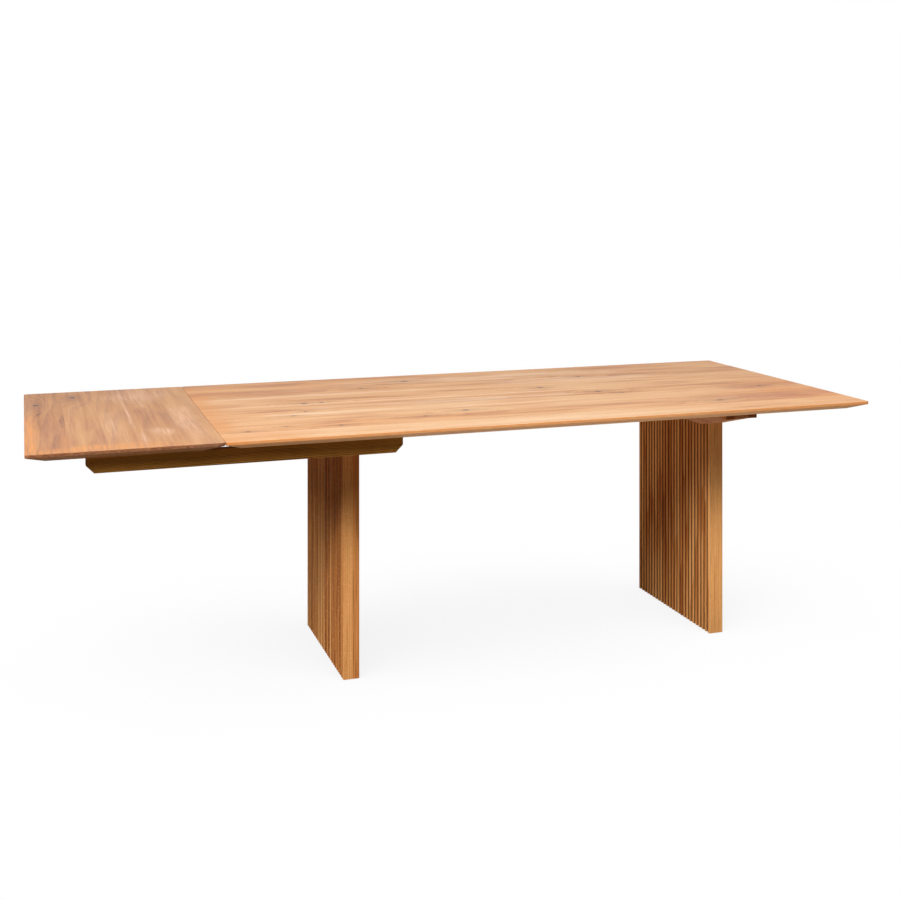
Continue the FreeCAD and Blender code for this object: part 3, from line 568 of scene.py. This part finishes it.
# the glue lines are counted from the rear, but staves wants them from the front
place, number, tone = staves(tree, whole, [top_high.y - edge for edge in reversed(TOP_GLUE)],
                             TOP_SEEDS[::-1], TOP_SHADES[::-1])
bend, dark = grow_knots(tree, whole, on_top(TOP_KNOTS))
smoky = spread_stains(tree, whole, on_top(TOP_STAINS))
orange = spread_stains(tree, whole, on_top(TOP_GLOWS))
pale = spread_stains(tree, whole, on_top(TOP_PALES))
# its underside is painted paler, as painted light from below
oak(board, "xyz", TOP_TONES, place, stave=number, tone=tone, bend=bend,
    marks=[(pale, colour(250, 216, 182)), (orange, colour(216, 142, 76)),
           (smoky, colour(172, 106, 74)), (dark, colour(76, 58, 54))],
    end_dark=0.7, edge_shade=colour(216, 134, 62), underside_painted_light=colour(255, 198, 146),
    fibres=0.48, rings=0.17, dullness=0.54, shine=0.34)
finish_node("main_top", board)


# ---- End leaf ----------------------------------------------------------------
# A shorter board of the same section whose staves run across the table, so that
# end grain shows at the table's front and rear. It lies loose on the two rails.

LEAF_TONES = [colour(214, 163, 115), colour(198, 144, 97), colour(177, 120, 78), colour(104, 57, 34)]
leaf_low, leaf_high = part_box("extension_leaf")
# knots: from the rear edge, from the leaf's free end, and size
LEAF_KNOTS = ((0.122, 0.146, 0.015), (0.235, 0.033, 0.014))
# glue lines from the free end, then for every stave a number for its figure and its tone
LEAF_GLUE = (0.108, 0.205, 0.286, 0.291, 0.405)
LEAF_SEEDS = (0.37, 0.81, 0.22, 0.15, 0.59, 0.94)
LEAF_SHADES = (0.60, 0.50, 0.50, 0.42, 0.55, 0.42)
# smoky, orange and pale patches: from the rear edge, from the free end, half length, half
# width and strength
LEAF_STAINS = ((0.680, 0.066, 0.300, 0.028, 0.65), (0.880, 0.078, 0.110, 0.032, 0.40),
               (0.620, 0.175, 0.150, 0.022, 0.50), (0.870, 0.122, 0.070, 0.014, 0.45),
               (0.450, 0.325, 0.085, 0.026, 0.65), (0.620, 0.380, 0.160, 0.014, 0.35),
               (0.420, 0.358, 0.260, 0.006, 0.60), (0.560, 0.402, 0.200, 0.005, 0.45),
               (0.120, 0.140, 0.110, 0.060, 0.35), (0.240, 0.033, 0.100, 0.030, 0.35))
LEAF_GLOWS = ((0.800, 0.012, 0.480, 0.026, 0.85), (0.970, 0.180, 0.070, 0.320, 0.75),
              (0.860, 0.100, 0.120, 0.020, 0.40), (0.500, 0.440, 0.500, 0.030, 0.10))
LEAF_PALES = ((0.780, 0.350, 0.080, 0.045, 0.60), (0.890, 0.303, 0.110, 0.008, 0.55),
              (0.450, 0.288, 0.450, 0.008, 0.45), (0.300, 0.340, 0.160, 0.008, 0.45),
              (0.650, 0.230, 0.250, 0.030, 0.30), (0.150, 0.330, 0.160, 0.110, 0.50),
              (0.620, 0.440, 0.300, 0.045, 0.50))


def on_leaf(spots):
    """Places counted from the rear edge and the free end, as places in the frame."""
    return [(leaf_high.y - along, leaf_low.x + across, *rest) for along, across, *rest in spots]


board = start_material("leaf_figure")
tree = board.node_tree
whole = board_place(tree, "yxz")
place, number, tone = staves(tree, whole, [leaf_low.x + edge for edge in LEAF_GLUE],
                             LEAF_SEEDS, LEAF_SHADES)
bend, dark = grow_knots(tree, whole, on_leaf(LEAF_KNOTS))
smoky = spread_stains(tree, whole, on_leaf(LEAF_STAINS))
orange = spread_stains(tree, whole, on_leaf(LEAF_GLOWS))
pale = spread_stains(tree, whole, on_leaf(LEAF_PALES))
oak(board, "yxz", LEAF_TONES, place, stave=number, tone=tone, bend=bend,
    marks=[(pale, colour(238, 196, 168)), (orange, colour(226, 148, 78)),
           (smoky, colour(150, 94, 72)), (dark, colour(80, 64, 58))],
    contrast=0.7, rings=0.16, dullness=0.54, end_dark=0.95, shine=0.34)
finish_node("extension_leaf", board)


# ---- Floor, lights and camera ------------------------------------------------
# A wide floor and a world that look white but throw hardly any light. Three soft
# boxes stand in front and at the left, a low one behind at the right, and two dim
# cards on the floor light what faces down.

def seen_directly(tree):
    """1 for the eye, for a mirror and through glass, and 0 for light that is thrown back."""
    path = add(tree, "LightPath").outputs
    mirrored = reckon(tree, "MAXIMUM", path["Is Glossy Ray"], path["Is Transmission Ray"])
    return reckon(tree, "MAXIMUM", path["Is Camera Ray"], mirrored)


bpy.ops.object.select_all(action="DESELECT")
bpy.ops.mesh.primitive_plane_add(size=60, location=(0, 0, 0))
floor = bpy.context.object
floor.name = "studio_floor"
paint = start_material("white_floor")
tree = paint.node_tree
surface = tree.nodes["Principled BSDF"]
surface.inputs["Base Color"].default_value = (0.18, 0.149, 0.108, 1)
surface.inputs["Roughness"].default_value = 1.0
surface.inputs["Specular IOR Level"].default_value = 0.0
# the shadow is soft and faint, and deepest close under the table
forward = add(tree, "CombineXYZ", -0.25, -0.45, 0.86).outputs[0]
sky = add(tree, "AmbientOcclusion", Distance=1.1, Normal=forward, samples=8).outputs["AO"]
seen = add(tree, "Emission", (1, 1, 1, 1), between(tree, sky, 0.15, 0.85, 0.86, 1.0))
both = add(tree, "MixShader", seen_directly(tree), surface.outputs[0], seen.outputs[0])
tree.links.new(both.outputs[0], tree.nodes["Material Output"].inputs["Surface"])
floor.data.materials.append(paint)

world = bpy.data.worlds.new("studio")
bpy.context.scene.world = world
world.use_nodes = True
tree = world.node_tree
ambient = tree.nodes["Background"]
ambient.inputs["Color"].default_value = (1.0, 1.0, 1.0, 1)
ambient.inputs["Strength"].default_value = 0.01
white = add(tree, "Background", (1, 1, 1, 1), 1.0)
both = add(tree, "MixShader", seen_directly(tree), ambient.outputs[0], white.outputs[0])
tree.links.new(both.outputs[0], tree.nodes["World Output"].inputs["Surface"])


def soft_box(name, spot, aim, width, height, power):
    """A rectangular lamp at spot that faces aim."""
    lamp = bpy.data.lights.new(name, "AREA")
    lamp.shape = "RECTANGLE"
    lamp.size, lamp.size_y, lamp.energy = width, height, power
    made = bpy.data.objects.new(name, lamp)
    bpy.context.scene.collection.objects.link(made)
    made.location = spot
    away = made.location - Vector(aim)
    made.rotation_euler = away.to_track_quat("Z", "Y").to_euler()
    made.visible_camera = False


TABLE_MIDDLE = (0.1, 0.0, 0.5)
soft_box("front_box", (1.4, -3.0, 4.7), TABLE_MIDDLE, width=2.0, height=1.4, power=213)
soft_box("left_box", (-3.8, -2.8, 3.4), TABLE_MIDDLE, width=1.7, height=1.4, power=188)
soft_box("side_box", (-4.6, -1.2, 2.2), TABLE_MIDDLE, width=2.0, height=0.8, power=65)
# below the level of the top, so that it reaches only the sides that the others leave dark
soft_box("rear_box", (3.4, 2.9, 0.42), (0.2, 0.0, 0.42), width=2.2, height=0.5, power=75)
soft_box("back_card", (0.0, 0.75, 0.02), (0.0, 0.75, 1.0), width=1.0, height=0.8, power=3.6)
soft_box("front_card", (0.55, -0.8, 0.02), (0.55, -0.8, 1.0), width=1.6, height=0.5, power=1.7)

# the camera looks level, and the shift of its lens brings the table into the frame
lens = bpy.data.cameras.new("camera")
camera = bpy.data.objects.new("camera", lens)
bpy.context.scene.collection.objects.link(camera)
camera.location = (-1.25536, -3.91516, 1.43768)
camera.rotation_euler = (math.pi / 2, 0, math.radians(-18.962))
lens.sensor_width = 36
lens.lens = 51.762
lens.shift_x = -0.01846
lens.shift_y = -0.29438
bpy.context.scene.camera = camera
bpy.context.scene.view_settings.view_transform = "Standard"
